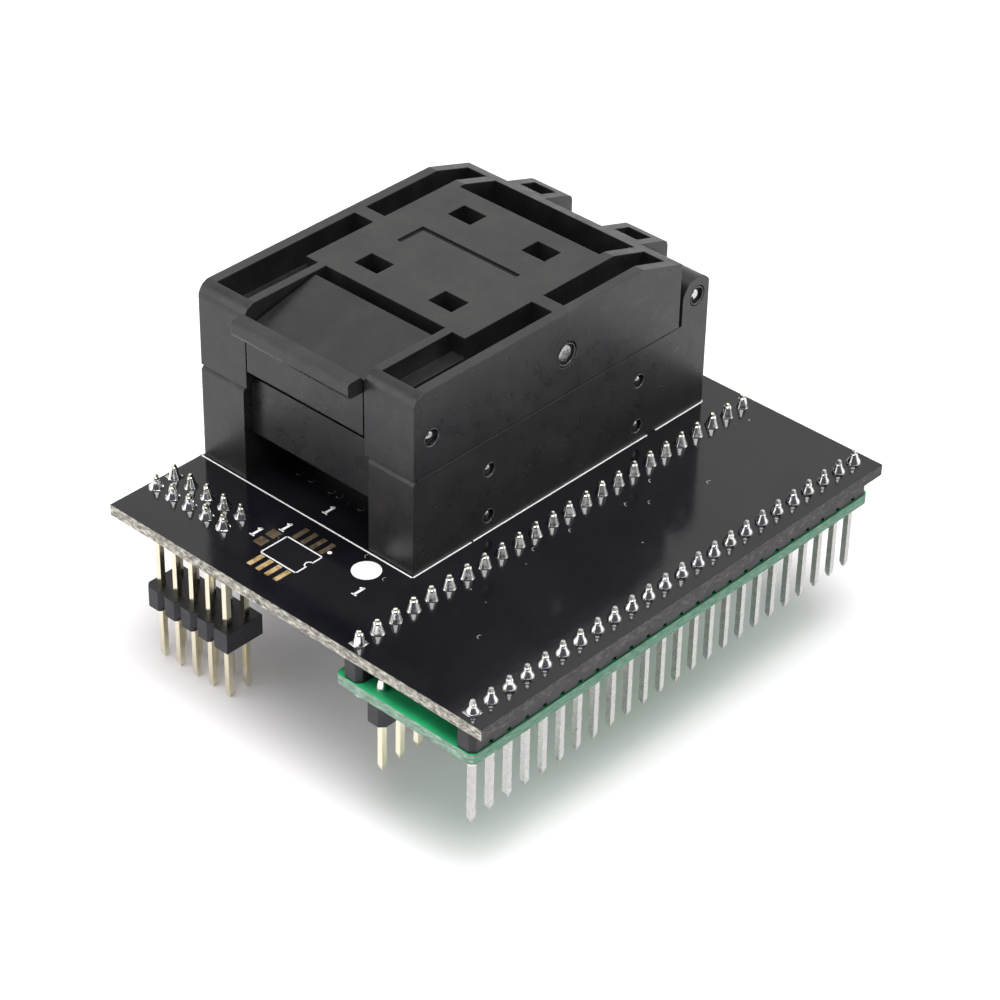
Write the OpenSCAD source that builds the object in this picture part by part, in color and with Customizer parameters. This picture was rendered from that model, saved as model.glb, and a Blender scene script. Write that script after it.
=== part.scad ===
// Clamshell test socket on a pin adapter: a hinged lid with a rocking pressure
// plate and a pull latch closes over a floating chip nest, and two stacked
// boards carry its contacts to rows of square header pins.
// Millimetres. X runs along the pin rows towards the hinge, Z points up.

/* [Pin rows] */
// Distance between neighbouring pins of a row
pitch = 2.54; // [2:0.01:3]
// Distance between the near and far rows
row_spacing = 15.24; // [12:0.01:18]
// Side of the square pins
pin_side = 0.64; // [0.4:0.01:0.8]
// Length of the taper at a pin's end
pin_taper = 0.6; // [0.2:0.05:1]
// Height of the pin ends above the main board
pin_rise = 1.6; // [1:0.1:3]
// Length of the slender upper end of a pin
top_taper = 1; // [0.8:0.05:1.2]
// Width of a pin at its upper end
pin_end = 0.32; // [0.26:0.01:0.4]
// Depth of the near row's tips below the main board's top
near_tip = 13.45; // [10:0.05:18]
// Width of a one-row header body
strip_w = 2.54; // [2:0.01:3]
// Height of a header body
strip_h = 2.54; // [1.5:0.01:4]
// Corner cut between header positions
strip_chamfer = 0.55; // [0.2:0.05:0.9]

/* [Inner row] */
// Place of the inner row across the lower board
inner_row_y = 12.1; // [10:0.05:12.3]
// Depth of the inner row's tips below the main board's top
inner_tip = 14; // [10:0.05:18]

/* [Side header] */
// First pin of the side header along the rows
side_x = 4.05; // [3:0.05:6]
// First pin of the side header across the board
side_y = 38.87; // [36:0.05:39]
// Pins of the side header across the board
side_count = 5; // [2:1:5]
// Depth of the side header's body below the main board's top
side_strip_z = 12.6; // [8:0.1:15]
// Depth of the side header's tips below the main board's top
side_tip = 22.1; // [18:0.1:28]

/* [Boards] */
// Main board width
board_wid = 52.5; // [52:0.1:70]
// Main board thickness
board_t = 1.3; // [0.8:0.1:2.4]
// Board edge beyond the first pin, along the rows
board_margin_x = 1.4; // [1.3:0.05:3]
// Main board beyond the lower board's far end
board_over = 0.48; // [0:0.02:3]
// Board edge beyond the near row
board_margin_y = 2.45; // [1.6:0.05:4]
// Lower board length, in which the board has as many whole pin positions as fit
adapter_len = 61.3; // [50:0.1:80]
// Lower board width
adapter_wid = 18.6; // [18.3:0.1:24]
// Lower board thickness
adapter_t = 1.2; // [0.8:0.1:2]
// Lower board edge beyond the first pins
adapter_margin = 1.4; // [1.3:0.05:2]
// Corner radius of the lower board
adapter_corner_r = 0.7; // [0.2:0.1:1.2]
// Radius of a plated hole
hole_r = 0.5; // [0.47:0.01:0.6]

/* [Solder] */
// Foot radius of a solder cone
cone_r = 0.62; // [0.58:0.01:0.9]
// Height of a solder cone
cone_h = 1.2; // [0.8:0.05:1.4]
// Half the side of a square pad
pad_r = 0.74; // [0.7:0.02:1.1]
// Thickness of the copper pads
pad_t = 0.05; // [0.03:0.01:0.1]
// Length of a chip footprint pad
chip_pad_len = 2.05; // [1:0.05:3]
// Width of a chip footprint pad
chip_pad_wid = 0.6; // [0.3:0.05:0.9]
// Distance between neighbouring chip pads
chip_pitch = 1.27; // [1:0.01:1.4]
// First chip pad along and across the board
chip_x = 2.45; // [2:0.05:4]
chip_y = 28.55; // [26:0.05:30]
// Distance between the two rows of chip pads
chip_span = 6.3; // [5:0.05:7]
// Side of a capacitor pad
cap_pad = 1.25; // [0.8:0.05:1.5]
// First capacitor pad along and across the board
cap_x = 5.05; // [4:0.05:6]
cap_y = 34.3; // [33.5:0.05:35]
// Distance between the capacitor's pads
cap_span = 1.7; // [1.4:0.05:3]

/* [Socket base] */
// Front face of the socket along the rows
socket_x = 11.5; // [11:0.1:14]
// Near face of the socket across the board
socket_y = 19.05; // [18:0.05:20]
// Width of base and lid
socket_w = 30.6; // [30:0.05:32]
// Length of the base
base_len = 44.7; // [44.4:0.1:46]
// Height of the base
base_h = 11.4; // [11.3:0.05:11.45]
// Width of a front leg of the base
leg_w = 6.3; // [5:0.05:6.6]
// Set-back of the front beam
beam_set = 1.3; // [0.8:0.05:1.6]
// Rise of the beam above the legs, between the lid's legs
beam_rise = 0.75; // [0.5:0.05:0.9]
// Thickness of the beam's outer skin
beam_skin = 0.8; // [0.5:0.05:1]
// Depth of the ledge that the hooks catch
ledge_depth = 1; // [0.8:0.05:1.05]
// Underside of the ledge
ledge_z = 10.1; // [10.1:0.05:10.4]
// Underside of the front beam
beam_z = 5.35; // [4.5:0.05:6]
// Back of the clear space under the beam
undercut_x = 6.5; // [5:0.1:7.2]
// Back of the hook's well
hook_well_x = 6.4; // [6:0.1:7.2]
// Edge rounding at the tops of the base's legs
leg_round = 0.5; // [0.2:0.1:0.8]

/* [Contact block and nest] */
// Seat centre behind the socket's front face
seat_x = 22.2; // [22:0.05:22.6]
// Length of the cavity for the contact block
cavity_len = 26.8; // [26.6:0.1:27.4]
// Width of the cavity for the contact block
cavity_wid = 23.25; // [23:0.05:24]
// Height of the rim over the nest
rim_z = 9.2; // [9:0.05:9.6]
// Rim that holds the nest, each side
rim_depth = 0.7; // [0.4:0.05:1]
// Clearance round fitted parts
fit_gap = 0.1; // [0.05:0.01:0.15]
// Length of the nest
nest_len = 18.6; // [18:0.1:19.4]
// Underside of the nest
nest_z = 6.7; // [6.6:0.05:7]
// Top of the nest
nest_top = 11; // [10.8:0.05:11.2]
// Travel of the nest
nest_travel = 0.5; // [0.2:0.05:0.6]
// Length of the chip's pocket
chip_len = 14.2; // [14:0.05:14.6]
// Width of the chip's pocket
chip_wid = 18.2; // [17.6:0.05:18.6]
// Floor of the chip's pocket
chip_z = 8.2; // [8:0.05:8.4]
// Rim that the chip lies on
chip_rim = 1.2; // [0.9:0.05:1.5]
// Floor of the contact block beside its field
block_z = 5.6; // [5:0.05:5.7]
// Top of the contact field
field_z = 7.6; // [7.2:0.05:7.7]
// Contacts along the rows
contact_cols = 10; // [4:1:10]
// Contacts across the rows
contact_rows = 14; // [4:1:14]
// Distance between contacts
contact_pitch = 1; // [0.8:0.05:1.05]
// Edge of the contact field beyond the contacts
field_edge = 1; // [0.6:0.05:1.2]
// Pad of solder under the board at a contact
tail_r = 0.36; // [0.25:0.01:0.4]
// Length of a contact's tail under the board
tail_len = 0.7; // [0.3:0.05:1.2]
// Radius of a contact's tip
contact_r = 0.22; // [0.15:0.01:0.28]
// Height of a contact's tip above the field
contact_rise = 0.75; // [0.4:0.05:0.9]
// Wire of the nest's springs
nest_wire = 0.28; // [0.2:0.01:0.32]
// Outer radius of the nest's springs
nest_spring_r = 0.85; // [0.7:0.01:0.9]
// Depth of the wells for the nest's springs
nest_well = 1.7; // [1:0.05:2]

/* [Pins through the socket] */
// Cross pins behind the contact block's front
cross_in1 = 2.15; // [1.5:0.05:3]
// Cross pins ahead of the contact block's back
cross_in2 = 1.7; // [1.2:0.05:3]
// Lower cross pins
cross_z1 = 1.9; // [1.5:0.05:2.4]
// Upper cross pins
cross_z2 = 7.6; // [7.2:0.05:7.9]
// Radius of the cross pins
cross_r = 0.58; // [0.4:0.01:0.8]
// Radius of the ring round a cross pin's ends
cross_ring = 0.86; // [0.6:0.01:1]
// Hinge ahead of the base's back
hinge_back = 1.92; // [1.8:0.01:2.2]
// Height of the hinge
hinge_z = 14.24; // [14.1:0.01:14.4]
// Radius of the hinge pin
hinge_r = 0.68; // [0.5:0.01:0.8]
// Radius of the ring round the hinge pin's ends
hinge_ring = 1.2; // [0.9:0.05:1.4]
// Depth of the rings round the pins' ends
ring_depth = 0.4; // [0.2:0.05:0.6]
// Play between a pin and what turns on it
pin_play = 0.05; // [0.02:0.01:0.08]
// Play round a fixed pin
pin_fix = 0.01; // [0.01:0.01:0.03]

/* [Lid] */
// Lid's back ahead of the hinge
lid_back = 2.78; // [2.6:0.02:3]
// Seam between base and lid
lid_gap = 0.1; // [0.08:0.02:0.2]
// Height of the lid's flat top
lid_top = 21.25; // [21:0.05:21.8]
// Length of the sloping back of the lid's top
slope_len = 6.3; // [5:0.05:7.5]
// Slope of the lid's back, in degrees
lid_slope = 17.3; // [12:0.1:20]
// Rounding at the front of the lid's legs
lid_round = 1.6; // [0.8:0.1:2]
// Width of a front leg of the lid
lid_leg_w = 6.8; // [6.5:0.05:7]
// Outer wall of the lid
lid_wall = 1.2; // [0.9:0.05:1.5]
// Depth of the open pockets
pocket_depth = 3.25; // [2:0.05:3.4]
// Width of a side pocket
pocket_w = 2.85; // [2.4:0.05:3]
// Width of a side pocket beside the latch
pocket_wide = 4.6; // [4:0.05:4.8]
// Depth of the pockets beside the latch
pocket_wide_depth = 2.3; // [1.5:0.05:2.4]
// Front wall of the side pockets
pocket_front = 1.45; // [1:0.05:1.8]
// Thickness of the cross ribs
rib_t = 1.65; // [1.2:0.05:2.2]
// Front edge of the lid's top plate
plate_x1 = 11.5; // [11.4:0.05:11.8]
// Opening behind the top plate, with the back wall
plate_back = 7.1; // [5:0.05:8]
// Underside of the lid's top plate
plate_z = 18.6; // [18.5:0.05:18.8]
// Width of the lid's inner room
room_w = 20; // [19.8:0.05:20.6]
// Back wall of the lid
back_wall = 1.45; // [1:0.05:1.8]
// Front of the lid's cross wall
bridge_x = 8; // [7.8:0.05:8.1]
// Thickness of the lid's cross wall
bridge_t = 1.5; // [1.2:0.05:1.6]
// Top of the lid's cross wall
bridge_z = 17.9; // [17:0.05:18]
// Length of a window
window_len = 2.6; // [2.4:0.05:3]
// Width of a window
window_wid = 3.3; // [3.1:0.05:3.6]
// Windows from the seat's centre, along
window_dx = 6.925; // [6.5:0.025:7.4]
// Windows from the seat's centre, across
window_dy = 5.275; // [5:0.025:5.6]
// Width of the orientation groove
groove_w = 0.65; // [0.3:0.05:0.8]
// Depth of the orientation groove
groove_depth = 0.35; // [0.2:0.05:0.6]
// Width of a hinge knuckle
knuckle_w = 5.45; // [5:0.05:5.6]
// Knuckle centres from the middle
knuckle_y = 6.825; // [6.7:0.025:6.9]
// Radius of a knuckle's lower side
knuckle_r = 1.75; // [1.5:0.05:1.9]
// Radius of the base's hinge ears
ear_r = 2.3; // [2:0.05:2.4]
// Width of the base's middle hinge lug
lug_w = 3.4; // [2.6:0.05:4]
// Length of a pocket on a knuckle
knuckle_pocket_len = 2.4; // [1.8:0.05:2.6]
// Width of a pocket on a knuckle
knuckle_pocket_wid = 3.2; // [2.6:0.05:3.8]

/* [Pressure plate] */
// Height of the pressure plate's pin
rock_z = 16.23; // [16:0.01:16.4]
// Radius of the pressure plate's pin
rock_r = 0.95; // [0.8:0.01:1]
// Radius of the ring round that pin's ends
rock_ring = 1.5; // [1.3:0.05:1.8]
// Gap between the pressure plate and the cross wall
presser_front = 0.9; // [0.5:0.05:1.5]
// Gap between the pressure plate and the room's sides
presser_gap = 0.3; // [0.2:0.05:0.8]
// Underside of the pressure plate
presser_z = 12.2; // [12:0.05:12.4]
// Top of the pressure plate
presser_top = 17.9; // [17.6:0.05:18]
// Length of the plate's foot
foot_len = 13; // [12:0.1:13.2]
// Width of the plate's foot
foot_wid = 17; // [16:0.1:17.2]
// Underside of the plate's foot
foot_z = 9.4; // [9.3:0.05:9.8]
// Length of a post
post_len = 1.8; // [1.4:0.05:1.9]
// Width of a post
post_wid = 2.4; // [2:0.05:2.6]
// Top of the posts
post_top = 19.4; // [19:0.05:21]
// Wire of the plate's springs
press_wire = 0.32; // [0.25:0.01:0.35]
// Outer radius of the plate's springs
press_spring_r = 2.12; // [2:0.01:2.2]
// Depth of the wells for the plate's springs
press_well = 2.5; // [1.5:0.05:3]

/* [Latch] */
// Latch pin behind the front face
latch_x = 2.55; // [2.5:0.01:2.7]
// Height of the latch pin
latch_z = 15.57; // [15.4:0.01:15.8]
// Radius of the latch pin
latch_r = 0.66; // [0.5:0.01:0.8]
// Radius of the ring round the latch pin's ends
latch_ring = 1.05; // [0.9:0.05:1.4]
// Side gap of the latch
latch_gap = 0.2; // [0.1:0.01:0.3]
// Lower edge of the latch's front
latch_low = 13.7; // [13.6:0.05:13.9]
// Lip ahead of the front face
lip_out = 2; // [1.2:0.05:2.5]
// Underside of the lip
lip_z = 18.8; // [18.4:0.05:19]
// Top of the lip
lip_top = 20.68; // [20.2:0.02:21]
// Length of the latch's pad to its back edge
latch_len = 9.8; // [9.4:0.05:10]
// Low end of the sloping pad
pad_low = 19.1; // [18.9:0.05:19.4]
// High end of the sloping pad
pad_high = 21; // [20.4:0.05:21.2]
// Front of the hook arms
arm_x = 3.25; // [3.25:0.01:3.3]
// Thickness of the hook arms
arm_t = 1.35; // [1.1:0.05:1.5]
// Width of a hook arm
arm_w = 5.5; // [4:0.1:6]
// Hook arms from the middle
arm_y = 4.05; // [3.6:0.05:4.2]
// Top of the hook's nose
nose_z = 10; // [9.9:0.02:10.02]
// Height of the hook's nose
nose_h = 1.2; // [1:0.05:1.3]
// Reach of the hook's nose
nose_out = 0.75; // [0.7:0.01:0.8]
// Wire of the latch's springs
latch_wire = 0.24; // [0.18:0.01:0.28]
// Outer radius of the latch's springs
latch_spring_r = 0.95; // [0.8:0.01:1]
// Height of the latch's springs
latch_spring_z = 14.3; // [14.2:0.05:14.4]
// Latch springs from the middle
latch_spring_y = 4.05; // [3:0.05:5]

/* [Hinge springs] */
// Wire of the hinge springs
hinge_wire = 0.34; // [0.25:0.01:0.38]
// Turns of a hinge spring
hinge_turns = 3.5; // [2.5:0.5:4]

/* [Hidden] */
$fn = 32;
adapter_top = -board_t - strip_h;
adapter_low = adapter_top - adapter_t;
row_pins = floor((adapter_len - 2 * adapter_margin) / pitch) + 1;
adapter_span = (row_pins - 1) * pitch + 2 * adapter_margin;
board_len = board_margin_x - adapter_margin + adapter_span + board_over;
half_w = socket_w / 2;
mid_y = socket_y + half_w;
room_top = lid_top + 2;
base_open = half_w - leg_w;
beam_half = base_open - 0.25;
lid_open = half_w - lid_leg_w;
pocket_in = half_w - lid_wall - pocket_w;
pocket_in_wide = half_w - lid_wall - pocket_wide;
hinge_x = base_len - hinge_back;
lid_len = hinge_x - lid_back;
lid_flat = lid_len - slope_len;
plate_x2 = lid_len - plate_back;
cross_x1 = seat_x - cavity_len / 2 + cross_in1;
cross_x2 = seat_x + cavity_len / 2 - cross_in2;
presser_len = 2 * (seat_x - bridge_x - bridge_t - presser_front);
presser_wid = room_w - 2 * presser_gap;
pocket_end = lid_len - back_wall;
lid_low = base_h + lid_gap;
ear_in = knuckle_y + knuckle_w / 2 + 0.3;
latch_half = lid_open - latch_gap;
field_len = (contact_cols - 1) * contact_pitch + 2 * field_edge;
field_wid = (contact_rows - 1) * contact_pitch + 2 * field_edge;
rock_x = seat_x;
spring_gap = 0.3;
rib_front = 1;
x_low = -max(board_margin_x, adapter_margin);
x_high = board_len - board_margin_x;
y_high = max(board_wid - board_margin_y, side_y + (side_count - 0.5) * pitch);
end_inset = 0.15;

// The part's frame: middle of its box, lowest pin tips at zero
module placed()
  translate([-(x_low + x_high) / 2, (board_margin_y - y_high) / 2, side_tip]) children();

// Socket pieces: front face, middle of the width, board top
module in_socket() placed() translate([socket_x, mid_y, 0]) children();

// A profile drawn in X and Z, carried along Y
module prism_y(y0, y1)
  translate([0, y1, 0]) rotate([90, 0, 0]) linear_extrude(height = y1 - y0) children();

// A profile drawn in Y and Z, carried along X
module prism_x(x0, x1)
  translate([x0, 0, 0]) rotate([90, 0, 90]) linear_extrude(height = x1 - x0) children();

// A box between two corners
module block(a, b) translate(a) cube(b - a);

// A round bar or bore along Y
module bar_y(x, z, r, y0, y1, fn = 32)
  translate([x, y1, z]) rotate([90, 0, 0]) cylinder(r = r, h = y1 - y0, $fn = fn);

// Both sides of the middle
module both() {
  children();
  mirror([0, 1, 0]) children();
}

// Copies along a row
module along_row(n = row_pins) for (i = [0:n - 1]) translate([i * pitch, 0, 0]) children();

// A square pin whose upper end is slender, as it stands in its solder
module slender_pin(z0, z1) {
  h = pin_side / 2;
  t = h * 0.4;
  e = pin_end / 2;
  outline = [
    [-t, z0], [t, z0], [h, z0 + pin_taper], [h, z1 - top_taper], [e, z1 - 0.06],
    [e - 0.05, z1], [0.05 - e, z1], [-e, z1 - 0.06], [-h, z1 - top_taper], [-h, z0 + pin_taper]
  ];
  intersection() {
    prism_y(-h, h) polygon(outline);
    prism_x(-h, h) polygon(outline);
  }
}

// One chamfered position of a header body
module strip_cell(w) {
  p = pitch / 2;
  c = strip_chamfer;
  polygon([
    [-p, -w / 2 + c], [-p + c, -w / 2], [p - c, -w / 2], [p, -w / 2 + c],
    [p, w / 2 - c], [p - c, w / 2], [-p + c, w / 2], [-p, w / 2 - c]
  ]);
}

// The plan of a plain header body of n positions, chamfered at its ends
module plain_bar(n, w) {
  a = -pitch / 2;
  b = (n - 0.5) * pitch;
  c = strip_chamfer;
  polygon([
    [a, -w / 2 + c], [a + c, -w / 2], [b - c, -w / 2], [b, -w / 2 + c],
    [b, w / 2 - c], [b - c, w / 2], [a + c, w / 2], [a, w / 2 - c]
  ]);
}

// A header body of n positions with square holes, top at z = 0, either plain
// along its sides or grooved between the positions, which may be cut square at
// its first end
module header_strip(n, rows = 1, plain = false, cut = false) {
  w = strip_w + (rows - 1) * pitch;
  bar = w / 2 - strip_chamfer;
  difference() {
    translate([0, 0, -strip_h]) linear_extrude(height = strip_h) {
      if (plain) plain_bar(n, w);
      else {
        along_row(n) strip_cell(w);
        translate([-pitch / 2 + 0.01, -bar]) square([n * pitch - 0.02, 2 * bar]);
        if (cut) translate([-pitch / 2, -w / 2]) square([pitch / 2, w]);
      }
    }
    for (j = [0:rows - 1])
      translate([0, (j - (rows - 1) / 2) * pitch, 0])
        along_row(n) translate([0, 0, -strip_h / 2])
          cube([pin_side, pin_side, strip_h + 1], center = true);
    for (i = [1:n - 1])
      translate([(i - 0.5) * pitch, 0, -strip_h])
        cube([strip_chamfer, w + 1, strip_h * 0.4], center = true);
  }
}

// A cone of solder round a slender pin end, foot at z = 0; the larger full is,
// the fuller the cone's sides are
module solder_cone(foot, full = 1, square_pad = false) difference() {
  tip = sqrt(2) * (pin_side - (pin_side - pin_end) * (cone_h - pin_rise + top_taper)
    / (top_taper - 0.06)) / 2 + 0.03;
  union() {
    if (square_pad) translate([-pad_r, -pad_r, 0]) cube([2 * pad_r, 2 * pad_r, pad_t]);
    else cylinder(r = foot, h = pad_t, $fn = 24);
    translate([0, 0, pad_t]) rotate_extrude($fn = 24) polygon(concat([[0, 0]],
      [for (k = [0:4]) [foot - (foot - tip) * pow(k / 4, full), (cone_h - pad_t) * k / 4]],
      [[0, cone_h - pad_t]]));
  }
  slender_pin(-cone_h, pin_rise);
}

// A collar of solder round a pin that runs on through it, foot at z = 0
module solder_collar() difference() {
  rotate_extrude($fn = 24) polygon([
    [0, 0], [cone_r + 0.08, 0], [cone_r + 0.06, pad_t * 2], [cone_r, cone_h * 0.4],
    [pin_side * 0.76, cone_h], [0, cone_h]
  ]);
  cube([pin_side, pin_side, 4 * cone_h], center = true);
}

// A round spring of wire w and outer radius r, standing on z = 0
module coil(r, w, h, turns, steps = 12) {
  n = floor(turns * steps);
  m = r - w / 2;
  rise = h - w;
  ring = [for (k = [0:5]) [w / 2 * cos(60 * k), w / 2 * sin(60 * k)]];
  points = [
    for (i = [0:n]) for (p = ring)
      [(m + p[0]) * cos(360 * i / steps), (m + p[0]) * sin(360 * i / steps),
       w / 2 + p[1] + rise * i / n]
  ];
  sides = [
    for (i = [0:n - 1]) for (k = [0:5])
      [i * 6 + k, (i + 1) * 6 + k, (i + 1) * 6 + (k + 1) % 6, i * 6 + (k + 1) % 6]
  ];
  ends = [[for (k = [0:5]) k], [for (k = [5:-1:0]) n * 6 + k]];
  polyhedron(points, concat(sides, ends), convexity = 6);
}

// Where the pins cross the boards
module row_places() {
  along_row() children();
  translate([0, row_spacing, 0]) along_row() children();
}

// Where the side header's pins stand
module side_places()
  for (i = [0:1], j = [0:side_count - 1])
    translate([side_x + i * pitch, side_y + j * pitch, 0]) children();

module main_board() color([0.04, 0.04, 0.045]) placed() difference() {
  translate([-board_margin_x, -board_margin_y, -board_t]) cube([board_len, board_wid, board_t]);
  row_places() cylinder(r = hole_r, h = 3 * board_t, center = true, $fn = 16);
  side_places() cylinder(r = hole_r, h = 3 * board_t, center = true, $fn = 16);
}

module adapter_board() color([0.05, 0.45, 0.2]) placed() difference() {
  r = adapter_corner_r;
  translate([-adapter_margin, -adapter_margin, adapter_low]) linear_extrude(height = adapter_t)
    union() {
      translate([r, 0]) square([adapter_span - 2 * r, adapter_wid]);
      translate([0, r]) square([adapter_span, adapter_wid - 2 * r]);
      for (x = [r, adapter_span - r], y = [r, adapter_wid - r]) translate([x, y]) circle(r = r);
    }
  translate([0, 0, adapter_low]) {
    row_places() cylinder(r = hole_r, h = 3 * adapter_t, center = true, $fn = 16);
    translate([0, inner_row_y, 0])
      along_row() cylinder(r = hole_r, h = 3 * adapter_t, center = true, $fn = 16);
  }
}

module near_header_strip() color([0.08, 0.08, 0.085]) placed()
  translate([0, 0, -board_t]) header_strip(row_pins, plain = true);

module far_header_strip() color([0.08, 0.08, 0.085]) placed()
  translate([0, row_spacing, -board_t]) header_strip(row_pins, plain = true);

module inner_header_strip() color([0.08, 0.08, 0.085]) placed()
  translate([0, inner_row_y, adapter_low]) header_strip(row_pins);

module side_header_strip() color([0.08, 0.08, 0.085]) placed()
  translate([side_x + pitch / 2, side_y, -side_strip_z]) rotate([0, 0, 90])
    header_strip(side_count, 2, cut = true);

module near_row_pins() color([0.75, 0.75, 0.74]) placed()
  along_row() slender_pin(-near_tip, pin_rise);

module far_row_pins() color([0.75, 0.75, 0.74]) placed()
  translate([0, row_spacing, 0]) along_row() slender_pin(adapter_low - pin_rise, pin_rise);

module inner_row_pins() color([0.85, 0.8, 0.66]) placed()
  translate([0, inner_row_y, 0]) along_row() slender_pin(-inner_tip, adapter_top + pin_rise);

module side_header_pins() color([0.85, 0.8, 0.6]) placed()
  side_places() slender_pin(-side_tip, pin_rise);

module near_solder_joints() color([0.8, 0.8, 0.82]) placed() {
  solder_cone(cone_r + 0.03, 1.9, true);
  translate([pitch, 0, 0]) along_row(row_pins - 1) solder_cone(cone_r + 0.03, 1.9);
}

module far_solder_joints() color([0.8, 0.8, 0.82]) placed()
  translate([0, row_spacing, 0]) {
    solder_cone(cone_r - 0.03, 1.3, true);
    translate([pitch, 0, 0]) along_row(row_pins - 1) solder_cone(cone_r - 0.03, 1.3);
  }

module side_solder_joints() color([0.8, 0.8, 0.82]) placed()
  for (i = [0:1], j = [0:side_count - 1])
    translate([side_x + i * pitch, side_y + j * pitch, 0])
      solder_cone(cone_r, 1, i == 1 && j == side_count - 1);

module adapter_solder_joints() color([0.8, 0.8, 0.82]) placed() {
  translate([0, inner_row_y, adapter_top]) along_row() solder_cone(cone_r, 1.3);
  translate([0, 0, adapter_low]) row_places() mirror([0, 0, 1]) solder_collar();
}

// Landing pads of a small outline chip and of its capacitor
module chip_footprint_pads() color([0.72, 0.56, 0.25]) placed() {
  for (i = [0:3], x = [chip_x, chip_x + chip_span])
    translate([x - chip_pad_len / 2, chip_y + i * chip_pitch - chip_pad_wid / 2, 0])
      cube([chip_pad_len, chip_pad_wid, pad_t]);
  for (x = [cap_x, cap_x + cap_span])
    translate([x - cap_pad / 2, cap_y - cap_pad / 2, 0]) cube([cap_pad, cap_pad, pad_t]);
}

module socket_base() color([0.11, 0.11, 0.12]) in_socket() difference() {
  union() {
    prism_y(-half_w, half_w) difference() {
      union() {
        square([base_len, base_h]);
        translate([hinge_x - ear_r, base_h - 1]) square([2 * ear_r, hinge_z - base_h + 1]);
        translate([hinge_x, hinge_z]) circle(r = ear_r);
      }
      translate([base_len, 0]) square([2 * ear_r, room_top]);
      translate([0, base_h]) rotate(45) square(leg_round * sqrt(2), center = true);
    }
    // upper edge of the front beam
    block([beam_set, -beam_half, base_h - 1],
          [beam_set + beam_skin + 0.6, beam_half, base_h + beam_rise]);
  }
  // clear space in front of and under the beam
  block([-1, -base_open, -1], [beam_set, base_open, base_h + 1]);
  block([-1, -base_open, -1], [undercut_x, base_open, beam_z]);
  // well for the hooks, under and behind the ledge
  block([beam_set + beam_skin, -base_open + 1.3, beam_z - 1],
        [hook_well_x, base_open - 1.3, ledge_z]);
  prism_y(-base_open + 1.3, base_open - 1.3) polygon([
    [beam_set + beam_skin + ledge_depth, ledge_z - 0.5], [hook_well_x, ledge_z - 0.5],
    [hook_well_x, base_h + 1], [beam_set + beam_skin + 0.6, base_h + 1],
    [beam_set + beam_skin + 0.6, base_h], [beam_set + beam_skin + ledge_depth, base_h - 0.5]
  ]);
  // cavity for the contact block, and the mouth over the nest
  block([seat_x - cavity_len / 2, -cavity_wid / 2, -1],
        [seat_x + cavity_len / 2, cavity_wid / 2, rim_z]);
  intersection() {
    prism_y(-half_w, half_w) mouth(nest_len / 2 + fit_gap - rim_depth);
    translate([seat_x, 0, 0]) prism_x(-half_w, half_w)
      translate([-seat_x, 0]) mouth(cavity_wid / 2 - rim_depth - fit_gap);
  }
  // room for the lid's knuckles and the hinge springs
  difference() {
    block([lid_len - 0.6, -ear_in, base_h - 1], [base_len + 1, ear_in, room_top]);
    prism_y(-lug_w / 2, lug_w / 2) {
      translate([hinge_x, hinge_z]) circle(r = ear_r - 0.1);
      translate([hinge_x - ear_r + 0.1, base_h - 2]) square([2 * ear_r, hinge_z - base_h + 2]);
    }
  }
  bar_y(hinge_x, hinge_z, hinge_r + pin_fix, -half_w - 1, half_w + 1);
  both() bar_y(hinge_x, hinge_z, hinge_ring, half_w - ring_depth, half_w + 1);
  for (x = [cross_x1, cross_x2], z = [cross_z1, cross_z2]) {
    bar_y(x, z, cross_r + pin_fix, -half_w - 1, half_w + 1);
    both() bar_y(x, z, cross_ring, half_w - ring_depth, half_w + 1);
  }
}

// Outline of the base's mouth with its lead-in, half width h
module mouth(h) polygon([
  [seat_x - h, rim_z - 1], [seat_x + h, rim_z - 1], [seat_x + h, base_h - 0.6],
  [seat_x + h + 0.7, base_h + 0.1], [seat_x - h - 0.7, base_h + 0.1], [seat_x - h, base_h - 0.6]
]);

module contact_block() color([0.16, 0.13, 0.1]) in_socket() difference() {
  h = cavity_len / 2 - fit_gap;
  n = nest_len / 2 + fit_gap;
  w = cavity_wid / 2 - fit_gap;
  union() {
    prism_y(-w, w) polygon([
      [seat_x - h, 0], [seat_x + h, 0], [seat_x + h, rim_z - fit_gap],
      [seat_x + n, rim_z - fit_gap], [seat_x + n, block_z], [seat_x - n, block_z],
      [seat_x - n, rim_z - fit_gap], [seat_x - h, rim_z - fit_gap]
    ]);
    block([seat_x - field_len / 2, -field_wid / 2, block_z - 0.5],
          [seat_x + field_len / 2, field_wid / 2, field_z]);
  }
  for (x = [cross_x1, cross_x2], z = [cross_z1, cross_z2])
    bar_y(x, z, cross_r + pin_fix, -half_w, half_w);
  nest_spring_places() translate([0, 0, block_z - nest_well])
    cylinder(r = nest_spring_r + 0.12, h = nest_well + 1);
}

// The four springs under the nest's corners
module nest_spring_places()
  for (x = [-1, 1], y = [-1, 1])
    translate([seat_x + x * (nest_len / 2 - 1.15), y * (cavity_wid / 2 - 2.2), 0]) children();

// Where the contacts stand
module contact_places()
  for (i = [0:contact_cols - 1], j = [0:contact_rows - 1])
    translate([seat_x + (i - (contact_cols - 1) / 2) * contact_pitch,
               (j - (contact_rows - 1) / 2) * contact_pitch, 0]) children();

module contact_pins() color([0.85, 0.7, 0.35]) in_socket()
  contact_places() translate([0, 0, field_z]) cylinder(r = contact_r, h = contact_rise, $fn = 16);

// Ends of the contacts under the board, each in its dot of solder
module contact_tails() color([0.8, 0.8, 0.82]) in_socket()
  contact_places() translate([0, 0, -board_t - tail_len]) rotate_extrude($fn = 16) polygon([
    [0, 0], [contact_r, 0], [contact_r, tail_len / 2], [tail_r, tail_len], [0, tail_len]
  ]);

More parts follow.
